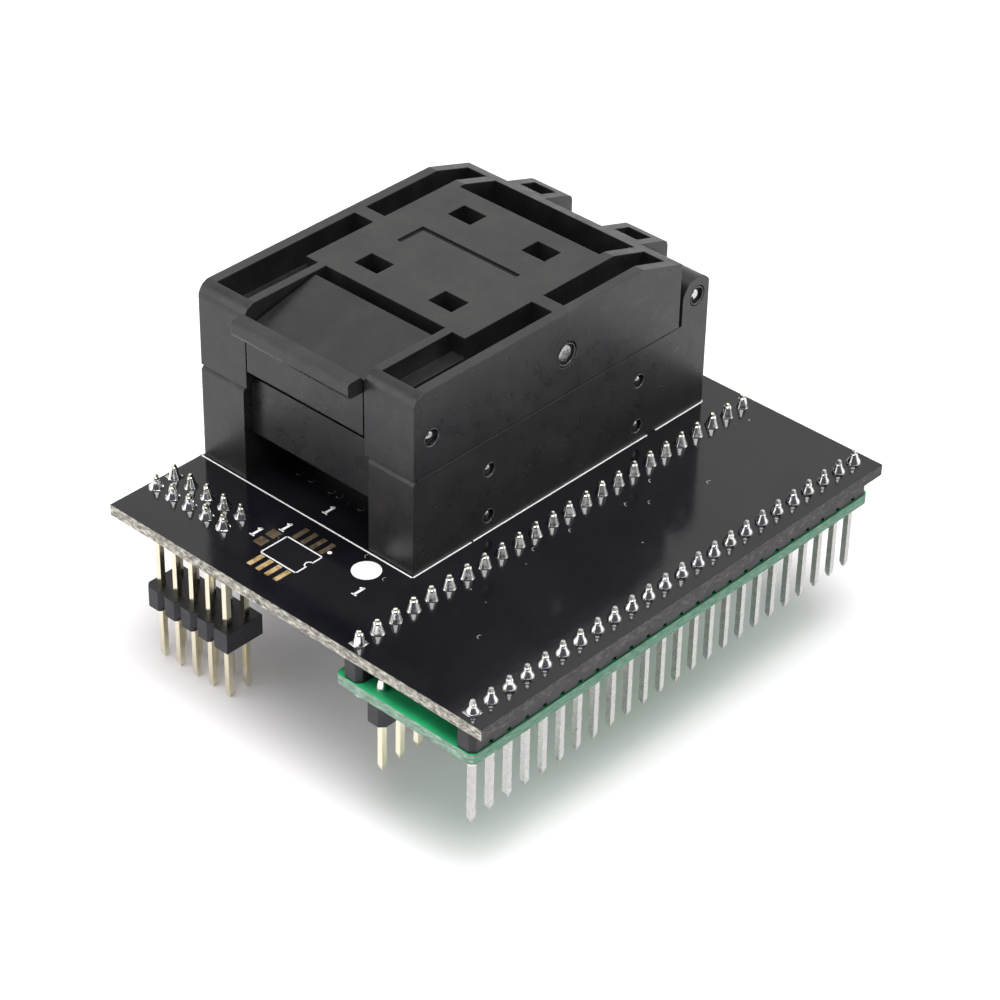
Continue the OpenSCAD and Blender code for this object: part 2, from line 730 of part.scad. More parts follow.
module nest_springs() color([0.7, 0.7, 0.72]) in_socket()
  nest_spring_places() translate([0, 0, block_z - nest_well])
    coil(nest_spring_r, nest_wire, nest_z - block_z + nest_well, 3.5);

module chip_nest() color([0.14, 0.14, 0.15]) in_socket() difference() {
  n = nest_len / 2;
  m = n - rim_depth - fit_gap;
  w = cavity_wid / 2 - 2 * fit_gap;
  v = w - rim_depth - fit_gap;
  union() {
    block([seat_x - n, -w, nest_z], [seat_x + n, w, rim_z - fit_gap]);
    block([seat_x - m, -v, rim_z - 0.5], [seat_x + m, v, nest_top]);
  }
  // the chip's pocket with its lead-in
  intersection() {
    prism_y(-half_w, half_w) chip_pocket(chip_len / 2, m);
    translate([seat_x, 0, 0]) prism_x(-half_w, half_w)
      translate([-seat_x, 0]) chip_pocket(chip_wid / 2, v);
  }
  for (x = [-1, 1], y = [-1, 1])
    translate([seat_x + x * (chip_len / 2 - 0.1), y * (chip_wid / 2 - 0.1), chip_z])
      cylinder(r = 0.45, h = 5, $fn = 24);
  block([seat_x - chip_len / 2 + chip_rim, -chip_wid / 2 + chip_rim, 0],
        [seat_x + chip_len / 2 - chip_rim, chip_wid / 2 - chip_rim, 20]);
}

// Outline of the chip's pocket, half width h in a nest of half width m
module chip_pocket(h, m) polygon([
  [seat_x - h, chip_z], [seat_x + h, chip_z], [seat_x + h, nest_top - 1],
  [seat_x + m - 0.4, nest_top + 0.01], [seat_x - m + 0.4, nest_top + 0.01],
  [seat_x - h, nest_top - 1]
]);

module base_cross_pins() color([0.78, 0.78, 0.78]) in_socket()
  for (x = [cross_x1, cross_x2], z = [cross_z1, cross_z2])
    bar_y(x, z, cross_r, -half_w + end_inset, half_w - end_inset);

module hinge_pin() color([0.78, 0.78, 0.78]) in_socket()
  bar_y(hinge_x, hinge_z, hinge_r, -half_w + end_inset, half_w - end_inset);

// The coils of the lid's torsion springs, beside the middle lug
module hinge_springs() color([0.7, 0.7, 0.72]) in_socket() both() {
  r = hinge_r + 0.12 + hinge_wire;
  w = hinge_wire;
  y0 = lug_w / 2 + 0.1;
  translate([hinge_x, y0, hinge_z]) rotate([-90, 0, 0]) coil(r, w, hinge_turns * w * 1.08 + w, hinge_turns);
}

// The lid's outline from the side
module lid_side() difference() {
  drop = (lid_len - lid_flat) * tan(lid_slope);
  polygon([
    [0, lid_low], [lid_len, lid_low], [lid_len, lid_top - drop],
    [lid_flat, lid_top], [0, lid_top]
  ]);
  difference() {
    translate([-1, lid_top - lid_round]) square([lid_round + 1, lid_round + 1]);
    translate([lid_round, lid_top - lid_round]) circle(r = lid_round);
  }
}

// Outline of a hinge knuckle
module knuckle_side() {
  function slope_z(x) = lid_top - (x - lid_flat) * tan(lid_slope);
  out = hinge_x + knuckle_r;
  translate([hinge_x, hinge_z]) circle(r = knuckle_r);
  polygon([
    [pocket_end, hinge_z], [pocket_end, slope_z(pocket_end)],
    [out - 0.6, slope_z(out - 0.6)], [out - 0.18, slope_z(out - 0.6) - 0.25],
    [out, slope_z(out - 0.6) - 0.75], [out, hinge_z]
  ]);
}

module lid_frame() color([0.1, 0.1, 0.11]) in_socket() difference() {
  union() {
    prism_y(-half_w, half_w) lid_side();
    both() prism_y(knuckle_y - knuckle_w / 2, knuckle_y + knuckle_w / 2) knuckle_side();
  }
  // notches in the lid's legs for the upper edge of the base's beam
  block([beam_set - 0.3, -beam_half - 0.2, 0],
        [beam_set + beam_skin + 0.9, beam_half + 0.2, base_h + beam_rise + 0.25]);
  // open front for the latch, in front of and above the cross wall
  block([-1, -lid_open, 0], [bridge_x, lid_open, room_top]);
  block([bridge_x - 1, -lid_open, bridge_z], [plate_x1, lid_open, room_top]);
  // room for the pressure plate, open behind the top plate
  block([bridge_x + bridge_t, -room_w / 2, 0], [pocket_end, room_w / 2, plate_z]);
  block([plate_x2, -room_w / 2, 0], [pocket_end, room_w / 2, room_top]);
  block([bridge_x + bridge_t, -lid_open, plate_z - 1], [plate_x1, lid_open, room_top]);
  // side pockets with the cross ribs between them
  both() {
    side_pocket(pocket_front, rock_x - rib_front, pocket_in, pocket_depth);
    side_pocket(pocket_front, plate_x1 - 0.1, pocket_in_wide, pocket_wide_depth);
    side_pocket(rock_x - rib_front + rib_t, pocket_end, pocket_in, pocket_depth);
    // hollows in the lower side, clear of the pins
    block([5.5, room_w / 2 + 0.9, 0], [rock_x - 2.5, half_w - lid_wall - 0.4, lid_low + 2.6]);
    block([rock_x + 2.5, room_w / 2 + 0.9, 0], [lid_len - 2, half_w - lid_wall - 0.4, lid_low + 2.6]);
  }
  for (x = [-1, 1], y = [-1, 1])
    translate([rock_x + x * window_dx, y * window_dy, lid_top])
      cube([window_len, window_wid, 8], center = true);
  // orientation groove
  block([rock_x + 1.35, -window_dy - 1.65, lid_top - groove_depth],
        [rock_x + 1.35 + groove_w, window_dy + 1.55, lid_top + 1]);
  block([rock_x - 1.95, window_dy + 1.05, lid_top - groove_depth],
        [rock_x + 1.35 + groove_w, window_dy + 1.05 + groove_w, lid_top + 1]);
  // pockets on the knuckles
  both() translate([hinge_x - 0.85, knuckle_y, lid_top - 2.6])
    cube([knuckle_pocket_len, knuckle_pocket_wid, 4], center = true);
  bar_y(hinge_x, hinge_z, hinge_r + pin_play, -half_w - 1, half_w + 1);
  bar_y(rock_x, rock_z, rock_r + pin_fix, -half_w - 1, half_w + 1);
  bar_y(latch_x, latch_z, latch_r + pin_fix, -half_w - 1, half_w + 1);
  both() {
    bar_y(rock_x, rock_z, rock_ring, half_w - ring_depth, half_w + 1);
    bar_y(latch_x, latch_z, latch_ring, half_w - ring_depth, half_w + 1);
  }
}

// One side pocket from x0 to x1, its inner edge at y = inner
module side_pocket(x0, x1, inner, depth)
  block([x0, inner, lid_top - depth], [x1, half_w - lid_wall, room_top]);

module presser_pin() color([0.8, 0.8, 0.8]) in_socket()
  bar_y(rock_x, rock_z, rock_r, -half_w + end_inset, half_w - end_inset);

module latch_pin() color([0.8, 0.8, 0.8]) in_socket()
  bar_y(latch_x, latch_z, latch_r, -half_w + end_inset, half_w - end_inset);

module latch_springs() color([0.7, 0.7, 0.72]) in_socket() both()
  translate([bridge_x, latch_spring_y, latch_spring_z]) rotate([0, -90, 0])
    coil(latch_spring_r, latch_wire, bridge_x - arm_x - arm_t - spring_gap - 0.05, 4.5);

module pressure_plate() color([0.13, 0.13, 0.14]) in_socket() difference() {
  h = presser_len / 2;
  f = foot_len / 2;
  union() {
    prism_y(-presser_wid / 2, presser_wid / 2) polygon([
      [rock_x - h, presser_z + 1.4], [rock_x - h + 2.2, presser_z], [rock_x + h - 2.2, presser_z],
      [rock_x + h, presser_z + 1.4], [rock_x + h, presser_top - 1.6],
      [rock_x + h - 1.6, presser_top], [rock_x - h + 1.6, presser_top], [rock_x - h, presser_top - 1.6]
    ]);
    intersection() {
      prism_y(-foot_wid / 2, foot_wid / 2) foot_side(f);
      translate([rock_x, 0, 0]) prism_x(-f, f) translate([-rock_x, 0]) foot_side(foot_wid / 2);
    }
    press_places() translate([-post_len / 2, -post_wid / 2, presser_z + 1])
      cube([post_len, post_wid, post_top - presser_z - 1]);
  }
  press_places() difference() {
    translate([0, 0, presser_top - press_well]) cylinder(r = press_spring_r + 0.15, h = 5);
    translate([-post_len / 2, -post_wid / 2, 0]) cube([post_len, post_wid, 40]);
  }
  bar_y(rock_x, rock_z, rock_r + pin_play, -half_w, half_w);
}

// Outline of the foot, half width f
module foot_side(f) polygon([
  [rock_x - f + 0.4, foot_z], [rock_x + f - 0.4, foot_z], [rock_x + f, foot_z + 0.4],
  [rock_x + f, presser_z + 1], [rock_x - f, presser_z + 1], [rock_x - f, foot_z + 0.4]
]);

// The four corners of the pressure plate that carry posts and springs
module press_places()
  for (x = [-1, 1], y = [-1, 1])
    translate([rock_x + x * window_dx, y * window_dy, 0]) children();

module presser_springs() color([0.7, 0.7, 0.72]) in_socket()
  press_places() translate([0, 0, presser_top - press_well])
    coil(press_spring_r, press_wire, plate_z - spring_gap - presser_top + press_well, 3.5);

module latch_lever() color([0.1, 0.1, 0.11]) in_socket() difference() {
  back = arm_x + arm_t;
  union() {
    prism_y(-latch_half, latch_half) polygon([
      [0, latch_low], [0, lip_z], [0.4 - lip_out, lip_z], [0.1 - lip_out, lip_z + 0.15],
      [-lip_out, lip_z + 0.45], [-lip_out, lip_top - 0.35], [0.3 - lip_out, lip_top - 0.05],
      [-0.3, lip_top], [1.2, pad_low], [latch_len, pad_high], [latch_len, pad_high - 1.8],
      [back + 1.1, pad_low - 1.5], [back, pad_low - 2.5], [back, latch_low]
    ]);
    both() prism_y(arm_y - arm_w / 2, arm_y + arm_w / 2) polygon([
      [arm_x, latch_low + 0.5], [arm_x, nose_z], [arm_x - nose_out, nose_z],
      [arm_x - nose_out, nose_z - nose_h * 0.4], [arm_x, nose_z - nose_h],
      [back, nose_z - nose_h], [back, latch_low + 0.5]
    ]);
  }
  bar_y(latch_x, latch_z, latch_r + pin_play, -half_w, half_w);
}

main_board();
adapter_board();
near_header_strip();
far_header_strip();
inner_header_strip();
side_header_strip();
near_row_pins();
far_row_pins();
inner_row_pins();
side_header_pins();
near_solder_joints();
far_solder_joints();
side_solder_joints();
adapter_solder_joints();
chip_footprint_pads();
socket_base();
contact_block();
contact_pins();
contact_tails();
nest_springs();
chip_nest();
base_cross_pins();
hinge_pin();
hinge_springs();
lid_frame();
presser_pin();
latch_pin();
latch_springs();
pressure_plate();
presser_springs();
latch_lever();
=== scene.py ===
import bpy
import bmesh
import math
import random
from mathutils import Vector, Matrix


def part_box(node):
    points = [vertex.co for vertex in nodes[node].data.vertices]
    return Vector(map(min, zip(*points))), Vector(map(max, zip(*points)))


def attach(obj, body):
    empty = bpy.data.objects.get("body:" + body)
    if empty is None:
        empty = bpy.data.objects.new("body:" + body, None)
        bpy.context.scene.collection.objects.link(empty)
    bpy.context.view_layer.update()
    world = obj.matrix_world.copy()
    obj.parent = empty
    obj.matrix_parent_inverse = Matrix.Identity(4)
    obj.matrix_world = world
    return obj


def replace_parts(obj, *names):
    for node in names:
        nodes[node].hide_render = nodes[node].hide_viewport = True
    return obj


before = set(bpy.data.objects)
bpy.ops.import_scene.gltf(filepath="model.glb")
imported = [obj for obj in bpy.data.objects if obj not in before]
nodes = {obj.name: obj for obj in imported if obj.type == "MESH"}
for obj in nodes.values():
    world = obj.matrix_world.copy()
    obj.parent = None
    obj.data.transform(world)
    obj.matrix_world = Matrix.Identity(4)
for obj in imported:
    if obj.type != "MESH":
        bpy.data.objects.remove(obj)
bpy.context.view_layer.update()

# lengths are in millimetres where at() or box_of() takes or gives them, and in metres elsewhere
MM = 0.001
TURN = 2 * math.pi
PITCH = 2.54
ROW_PINS = 24
FAR_ROW = 15.24
SIDE_COLUMNS = 2
SIDE_ROWS = 5
HALF_PIN = 0.32
BOARD_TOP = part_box("main_board")[1].z
# where the near row's first pin stands in the frame
FIRST_PIN = (-29.45, -23.925)
# how far marks and solder reach into the board
SUNK = -0.01


def at(x, y, z=0.0):
    """A place given from the first pin of the near row and the board's top, in millimetres."""
    return Vector(((x + FIRST_PIN[0]) * MM, (y + FIRST_PIN[1]) * MM, BOARD_TOP + z * MM))


def box_of(name):
    """A node's lowest and highest corners, in the millimetres that at() takes."""
    origin = at(0, 0)
    return [[(corner[k] - origin[k]) / MM for k in range(3)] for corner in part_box(name)]


def axis_of(name):
    """The x and z of a pin that lies across the socket."""
    low, high = box_of(name)
    return (low[0] + high[0]) / 2, (low[2] + high[2]) / 2


# ---------------------------------------------------------------- shader nodes
# the Mix node's colour sockets go by number, because their names repeat
COLOUR_A = 6
COLOUR_B = 7
COLOUR_OUT = 2


def shader(mat):
    return mat.node_tree.nodes["Principled BSDF"]


def material(name, colour, roughness, metallic=0.0, specular=None):
    mat = bpy.data.materials.new(name)
    mat.use_nodes = True
    sockets = shader(mat).inputs
    sockets["Base Color"].default_value = (*colour, 1)
    sockets["Roughness"].default_value = roughness
    sockets["Metallic"].default_value = metallic
    if specular is not None:
        sockets["Specular IOR Level"].default_value = specular
    return mat


def node(mat, kind, **inputs):
    """A new node; each input's name is written with underscores for its spaces."""
    new = mat.node_tree.nodes.new("ShaderNode" + kind)
    for name, value in inputs.items():
        new.inputs[name.replace("_", " ")].default_value = value
    return new


def link(mat, source, out, target, into):
    mat.node_tree.links.new(source.outputs[out], target.inputs[into])


def noise(mat, scale, detail=3.0, rough=0.55, stretch=None):
    """Soft noise, fixed to the piece, that may be stretched along its axes."""
    cloud = node(mat, "TexNoise", Scale=scale, Detail=detail, Roughness=rough)
    place = node(mat, "TexCoord")
    if stretch:
        scaled = node(mat, "Mapping", Scale=stretch)
        link(mat, place, "Object", scaled, "Vector")
        link(mat, scaled, "Vector", cloud, "Vector")
    else:
        link(mat, place, "Object", cloud, "Vector")
    return cloud


def ramp(mat, source, stops):
    """Turn a noise into colours; stops are places from 0 to 1, each with its colour."""
    new = node(mat, "ValToRGB")
    elements = new.color_ramp.elements
    while len(elements) < len(stops):
        elements.new(0.5)
    for element, (place, colour) in zip(elements, stops):
        element.position = place
        element.color = (*colour, 1)
    link(mat, source, "Fac", new, "Fac")
    return new


def grey(value):
    return (value, value, value)


def tint(colour, factor):
    return tuple(value * factor for value in colour)


def bump(mat, source, strength, distance, edge):
    """Fine relief over normals that turn at the edges, as moulded and cut edges do."""
    turned = node(mat, "Bevel", Radius=edge)
    turned.samples = 6
    relief = node(mat, "Bump", Strength=strength, Distance=distance)
    link(mat, source, "Fac", relief, "Height")
    link(mat, turned, "Normal", relief, "Normal")
    link(mat, relief, "Normal", shader(mat), "Normal")


def facing(mat, axis):
    """1 where the surface faces along +axis or -axis, 0 where it lies across it."""
    surface = node(mat, "NewGeometry")
    parts = node(mat, "SeparateXYZ")
    link(mat, surface, "Normal", parts, "Vector")
    size = node(mat, "Math")
    size.operation = "ABSOLUTE"
    link(mat, parts, axis, size, 0)
    share = node(mat, "MapRange", From_Min=0.5, From_Max=0.7)
    link(mat, size, "Value", share, "Value")
    return share


def blend(mat, share, first, first_out, second, second_out):
    """The first colour where share is 0 and the second where it is 1."""
    mixed = node(mat, "Mix")
    mixed.data_type = "RGBA"
    link(mat, share, "Result", mixed, "Factor")
    link(mat, first, first_out, mixed, COLOUR_A)
    link(mat, second, second_out, mixed, COLOUR_B)
    return mixed


# ---------------------------------------------------------------- kinds of material
def plastic(name, colour, rough, grain=1.0, specular=0.5):
    """Moulded plastic: fine spark-eroded grain, faint flow clouding and a slightly uneven sheen."""
    mat = material(name, colour, rough, specular=specular)
    red, green, blue = colour
    dark = (red * 0.6, green * 0.6, blue * 0.8)
    light = (red * 1.6, green * 1.55, blue * 1.4)
    clouds = ramp(mat, noise(mat, 260, detail=5, rough=0.6), [(0.28, dark), (0.5, colour), (0.72, light)])
    link(mat, clouds, "Color", shader(mat), "Base Color")
    sheen = ramp(mat, noise(mat, 700, detail=4), [(0.3, grey(rough - 0.07)), (0.7, grey(rough + 0.08))])
    link(mat, sheen, "Color", shader(mat), "Roughness")
    bump(mat, noise(mat, 11000, detail=2), strength=0.5 * grain, distance=0.00002, edge=0.00012)
    return mat


def laminate(name, mask, rough, pale, dark, mottle, flow, low, high):
    """Glass fibre board: glossy mask on its faces, bare mottled laminate along its cut edges.

    The ends are pale, from low to high times that colour, and the long sides go from dark to mottle. This
    split by the way an edge faces is painted light on the ends and painted shade on the long sides, as the
    laminate is the same all round.
    """
    mat = material(name, mask, rough, specular=0.44)
    top = ramp(mat, noise(mat, 130), [(0.3, tint(mask, 0.75)), (0.7, tint(mask, 1.3))])
    grain = noise(mat, 3000, detail=6, rough=0.8, stretch=flow)
    # painted light and shade: edges facing along x take the pale end colour, edges facing along y the dark
    # side colour
    end = ramp(mat, grain, [(0.38, tint(pale, low)), (0.5, pale), (0.62, tint(pale, high))])
    side = ramp(mat, grain, [(0.36, tint(dark, 0.55)), (0.52, dark), (0.68, mottle)])
    cut = blend(mat, facing(mat, "X"), side, "Color", end, "Color")
    face = facing(mat, "Z")
    colour = blend(mat, face, cut, COLOUR_OUT, top, "Color")
    link(mat, colour, COLOUR_OUT, shader(mat), "Base Color")
    sheen = node(mat, "MapRange", To_Min=0.75, To_Max=rough)
    link(mat, face, "Result", sheen, "Value")
    scuffs = noise(mat, 420, detail=5, rough=0.65, stretch=(1, 3, 1))
    wear = ramp(mat, scuffs, [(0.45, grey(0)), (0.75, grey(0.05))])
    total = node(mat, "Math")
    total.operation = "ADD"
    link(mat, sheen, "Result", total, 0)
    link(mat, wear, "Color", total, 1)
    link(mat, total, "Value", shader(mat), "Roughness")
    bump(mat, noise(mat, 900, detail=2), strength=0.06, distance=0.0001, edge=0.00006)
    return mat


def metal(name, colour, rough, dark=0.85, scale=1500, edge=0.00005, relief=0.08):
    """Plated or drawn metal with slightly uneven lustre; with no edge it has no relief either."""
    mat = material(name, colour, rough, metallic=1.0)
    lustre = noise(mat, scale, detail=4, rough=0.6)
    shade = ramp(mat, lustre, [(0.3, tint(colour, dark)), (0.65, colour)])
    link(mat, shade, "Color", shader(mat), "Base Color")
    sheen = ramp(mat, noise(mat, scale * 1.7), [(0.3, grey(rough * 0.7)), (0.7, grey(rough * 1.4))])
    link(mat, sheen, "Color", shader(mat), "Roughness")
    if edge:
        bump(mat, lustre, strength=relief, distance=0.00003, edge=edge)
    return mat


def landing_pads():
    """Gilt pads, bright gold on the chip's outer side and dark brown on the side towards the socket, where
    the dark is painted reflection of the socket mirrored in them.
    """
    mat = metal("pad_gilt", (0.62, 0.47, 0.24), 0.5)
    shader(mat).inputs["Metallic"].default_value = 0.45
    parts = node(mat, "SeparateXYZ")
    link(mat, node(mat, "TexCoord"), "Object", parts, "Vector")
    # painted reflection: from here towards the socket the pads are coloured dark, as the dark socket
    # mirrored in them
    bright_to, socket_reflection_from = 3.7, 4.1
    inner = node(mat, "MapRange", From_Min=at(bright_to, 0).x, From_Max=at(socket_reflection_from, 0).x)
    link(mat, parts, "X", inner, "Value")
    tarnish = noise(mat, 1600, detail=4)
    bright = ramp(mat, tarnish, [(0.35, (0.34, 0.22, 0.07)), (0.6, (0.68, 0.5, 0.26))])
    # the painted reflection of the dark socket
    socket_reflection = ramp(mat, tarnish, [(0.35, (0.07, 0.05, 0.025)), (0.65, (0.17, 0.13, 0.08))])
    colour = blend(mat, inner, bright, "Color", socket_reflection, "Color")
    link(mat, colour, COLOUR_OUT, shader(mat), "Base Color")
    return mat


def black_board():
    # pale is the ends' colour with painted light; dark and mottle are the long sides' colours with painted
    # shade
    return laminate("solder_mask_black", mask=(0.0062, 0.0062, 0.0088), rough=0.115,
                    pale=(0.3, 0.29, 0.25), dark=(0.052, 0.05, 0.048),
                    mottle=(0.15, 0.145, 0.138), flow=(0.5, 0.45, 1), low=0.22, high=2.3)


def green_board():
    # pale is the ends' colour with painted light; dark and mottle are the long sides' colours with painted
    # shade
    return laminate("solder_mask_green", mask=(0.028, 0.4, 0.15), rough=0.24,
                    pale=(0.2, 0.31, 0.24), dark=(0.12, 0.26, 0.18),
                    mottle=(0.3, 0.44, 0.34), flow=(0.25, 0.25, 1.5), low=0.5, high=1.7)


MATERIALS = {
    "moulding": plastic("moulded_black", (0.0132, 0.013, 0.0138), 0.31, specular=0.47),
    "header_body": plastic("header_black", (0.012, 0.012, 0.016), 0.42, grain=3.0, specular=0.42),
    "contact_block": plastic("contact_block_brown", (0.05, 0.038, 0.026), 0.5),
    "carrier_board": black_board(),
    "lower_board": green_board(),
    "tinned_pin": metal("tinned_pin", (0.52, 0.52, 0.5), 0.3, scale=2200, edge=0),
    "gilt_pin": metal("gilt_pin", (0.8, 0.75, 0.58), 0.17, dark=0.95, edge=0),
    "solder": metal("solder_silver", (0.74, 0.74, 0.72), 0.1, scale=1800, relief=0.15),
    "copper_pad": landing_pads(),
    "steel_pin": metal("steel_pin", (0.5, 0.5, 0.5), 0.3, dark=0.5, scale=2200),
    "polished": metal("polished_end", (0.62, 0.62, 0.61), 0.1, dark=0.75, scale=900),
    # painted shade: a darker copy of the pins' steel, for the shaded recesses of the cross pins and the
    # latch pin
    "shaded_pin_end": metal("shaded_pin_end", (0.42, 0.42, 0.43), 0.13, dark=0.6, scale=900),
    # painted highlight: a lighter, glossier copy of the moulding, for the lips round the sunk pin ends
    "painted_highlight_lip": material("painted_highlight_lip", (0.06, 0.06, 0.065), 0.2, specular=1.0),
    "gilt_tip": metal("gilt_tip", (0.92, 0.88, 0.66), 0.2),
    "spring_wire": metal("spring_steel", (0.55, 0.55, 0.56), 0.25),
    "print": material("board_print", (0.8, 0.8, 0.79), 0.5),
    # metal for the painted glints on hole rims
    "rim": metal("rim_glint", (0.4, 0.4, 0.39), 0.3),
}

# the CAD nodes that each material covers
COVERS = {
    "moulding": ("socket_base", "lid_frame", "pressure_plate", "latch_lever", "chip_nest"),
    "header_body": ("near_header_strip", "far_header_strip", "inner_header_strip", "side_header_strip"),
    "contact_block": ("contact_block",),
    "carrier_board": ("main_board",),
    "lower_board": ("adapter_board",),
    "tinned_pin": ("near_row_pins", "far_row_pins"),
    "gilt_pin": ("inner_row_pins", "side_header_pins", "contact_pins"),
    "solder": ("near_solder_joints", "far_solder_joints", "side_solder_joints",
               "adapter_solder_joints", "contact_tails"),
    "copper_pad": ("chip_footprint_pads",),
    "steel_pin": ("base_cross_pins", "hinge_pin", "presser_pin", "latch_pin"),
    "spring_wire": ("nest_springs", "hinge_springs", "latch_springs", "presser_springs"),
}
for finish, names in COVERS.items():
    for name in names:
        nodes[name].data.materials.clear()
        nodes[name].data.materials.append(MATERIALS[finish])


# ---------------------------------------------------------------- meshes
def skin(bm, rings):
    """Faces between each ring of points and the next."""
    for first, second in zip(rings, rings[1:]):
        for i in range(len(first)):
            j = (i + 1) % len(first)
            bm.faces.new((first[i], first[j], second[j], second[i]))


def slab(bm, outline, height):
    """A thin plate with this outline, let a little into the board."""
    low = [bm.verts.new(at(x, y, SUNK)) for x, y in outline]
    top = [bm.verts.new(at(x, y, height)) for x, y in outline]
    bm.faces.new(top)
    bm.faces.new(low[::-1])
    skin(bm, [low, top])


def piece(name, bm, finish, body="carrier", smooth=True):
    """Make one piece of the gathered faces, and let it ride on a body."""
    bmesh.ops.recalc_face_normals(bm, faces=bm.faces)
    mesh = bpy.data.meshes.new(name)
    bm.to_mesh(mesh)
    mesh.materials.append(MATERIALS[finish])
    for face in mesh.polygons:
        face.use_smooth = smooth
    made = bpy.data.objects.new(name, mesh)
    bpy.context.collection.objects.link(made)
    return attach(made, body)


# ---------------------------------------------------------------- printed marks
class Marks:
    """Thin flat marks on the board, gathered into one mesh."""

    def __init__(self, height):
        self.bm = bmesh.new()
        self.height = height

    def line(self, start, end, width, over=0.5):
        """A straight line that runs on at both ends by this share of its width."""
        start, end = Vector(start), Vector(end)
        along = (end - start).normalized()
        across = Vector((-along.y, along.x)) * width / 2
        start, end = start - along * width * over, end + along * width * over
        slab(self.bm, [start - across, end - across, end + across, start + across], self.height)

    def disc(self, x, y, radius, sides=40):
        angles = [TURN * i / sides for i in range(sides)]
        slab(self.bm, [(x + radius * math.cos(a), y + radius * math.sin(a)) for a in angles], self.height)

    def arc(self, x, y, radius, width, first, last, steps=14):
        """Part of a ring, from the first angle to the last, in degrees."""
        angles = [math.radians(first + (last - first) * i / steps) for i in range(steps + 1)]
        inner, outer = radius - width / 2, radius + width / 2
        for a, b in zip(angles, angles[1:]):
            corners = ((a, inner), (a, outer), (b, outer), (b, inner))
            slab(self.bm, [(x + r * math.cos(t), y + r * math.sin(t)) for t, r in corners], self.height)


def socket_outline(marks):
    """The line round the socket's place, broken twice on its near side."""
    width = 0.17
    front, back = 11.26, 56.3
    near, far = 18.93, 50.0
    for x0, x1 in ((front, 19.75), (20.08, 47.05), (48.5, back)):
        marks.line((x0, near), (x1, near), width, 0.5 if x0 == front or x1 == back else 0)
    marks.line((front, near), (front, far), width)
    marks.line((front, far), (back, far), width)
    marks.line((back, near), (back, far), width)


def chip_outline(marks):
    """The outline of the small chip's place, with its notch and the dot at its first pin."""
    width = 0.16
    front, back = 3.7, 7.45
    near, far = 27.9, 33.0
    notch, notch_radius = 5.6, 0.48
    marks.line((front, near), (front, far), width)
    marks.line((front, far), (back, far), width)
    marks.line((back, far), (back, near), width)
    marks.line((front, near), (notch - notch_radius, near), width)
    marks.line((notch + notch_radius, near), (back, near), width)
    marks.arc(notch, near, notch_radius, width=0.15, first=0, last=180)
    marks.disc(8.48, 27.92, radius=0.25, sides=20)


def numeral_one(marks, x, y):
    """A plain 1, read from the latch's side."""
    foot, head = x - 0.75, x + 0.75
    marks.line((foot, y), (head, y), width=0.3, over=0)
    marks.line((foot, y - 0.34), (foot, y + 0.34), width=0.16, over=0)
    marks.line((head, y), (x + 0.42, y + 0.36), width=0.2, over=0)


def board_print():
    marks = Marks(height=0.02)
    socket_outline(marks)
    chip_outline(marks)
    marks.disc(8.96, 23.14, radius=1.58)
    for x, y in ((6.0, 21.2), (13.7, 33.2), (8.5, 34.2), (5.9, 35.8)):
        numeral_one(marks, x, y)
    piece("board_print", marks.bm, "print", smooth=False)


def rim_glints():
    """Painted glints on the metal rims of filled holes, drawn only as the arcs and dots where the rims
    catch the light: a row in the tunnel under the latch, and some on the open board.
    """
    marks = Marks(height=0.015)
    for y in (40.3, 38.4, 35.5, 34.3, 31.1):
        marks.arc(16.2, y, radius=0.36, width=0.13, first=150, last=330)
    marks.disc(15.85, 32.7, radius=0.12, sides=12)
    for x, y in ((9, 7.5), (45, 8.5), (10.75, 24.75), (9.25, 20.75), (7, 33.5)):
        marks.arc(x, y, radius=0.3, width=0.09, first=20, last=200)
    for x, y in ((23.5, 13.5), (38, 10.5), (41, 13), (36, 12), (28.5, 13)):
        marks.arc(x, y, radius=0.34, width=0.11, first=60, last=200)
    for x, y in ((13.5, 11), (14, 13.5), (21, 12.5), (32, 6.5), (57, 13)):
        marks.disc(x, y, radius=0.12, sides=12)
    piece("rim_glints", marks.bm, "rim", smooth=False)


# ---------------------------------------------------------------- solder
# heights over the board and radii, from the foot to the tip: full, straight and hollow joints
DOME = [(-0.01, 0.78), (0.05, 0.775), (0.14, 0.76), (0.27, 0.72), (0.4, 0.655), (0.53, 0.575),
        (0.66, 0.5), (0.8, 0.44), (0.95, 0.39), (1.08, 0.35), (1.16, 0.31)]
CONE = [(-0.01, 0.78), (0.04, 0.745), (0.12, 0.71), (0.3, 0.66), (0.55, 0.58), (0.8, 0.5),
        (1.05, 0.43), (1.25, 0.37)]
TENT = [(-0.01, 0.84), (0.04, 0.78), (0.11, 0.71), (0.25, 0.62), (0.5, 0.52), (0.75, 0.44),
        (1.0, 0.38), (1.25, 0.33)]


def soldered(bm, x, y, profile, lean, lobes, sides=24):
    """A soldered joint: rings round the pin from foot to tip, each a little uneven."""
    lean_x, lean_y = random.uniform(-lean, lean), random.uniform(-lean, lean)
    foot = random.uniform(0.94, 1.05)
    tall = random.uniform(0.93, 1.04)
    once, twice = random.uniform(0, 6.3), random.uniform(0, 6.3)
    top = profile[-1][0]
    rings = []
    for z, radius in profile:
        rise = z / top
        ring = []
        for i in range(sides):
            angle = TURN * i / sides
            reach = radius * (1 + (foot - 1) * (1 - rise))
            reach *= (1 + 0.035 * math.cos(angle - once) + 0.025 * math.cos(2 * angle - twice)
                      + lobes * math.cos(4 * angle) * (1 - rise))
            ring.append(bm.verts.new(at(x + lean_x * rise + reach * math.cos(angle),
                                        y + lean_y * rise + reach * math.sin(angle),
                                        z * (1 + (tall - 1) * rise))))
        rings.append(ring)
    skin(bm, rings)
    bm.faces.new(rings[-1])
    bm.faces.new(rings[0][::-1])


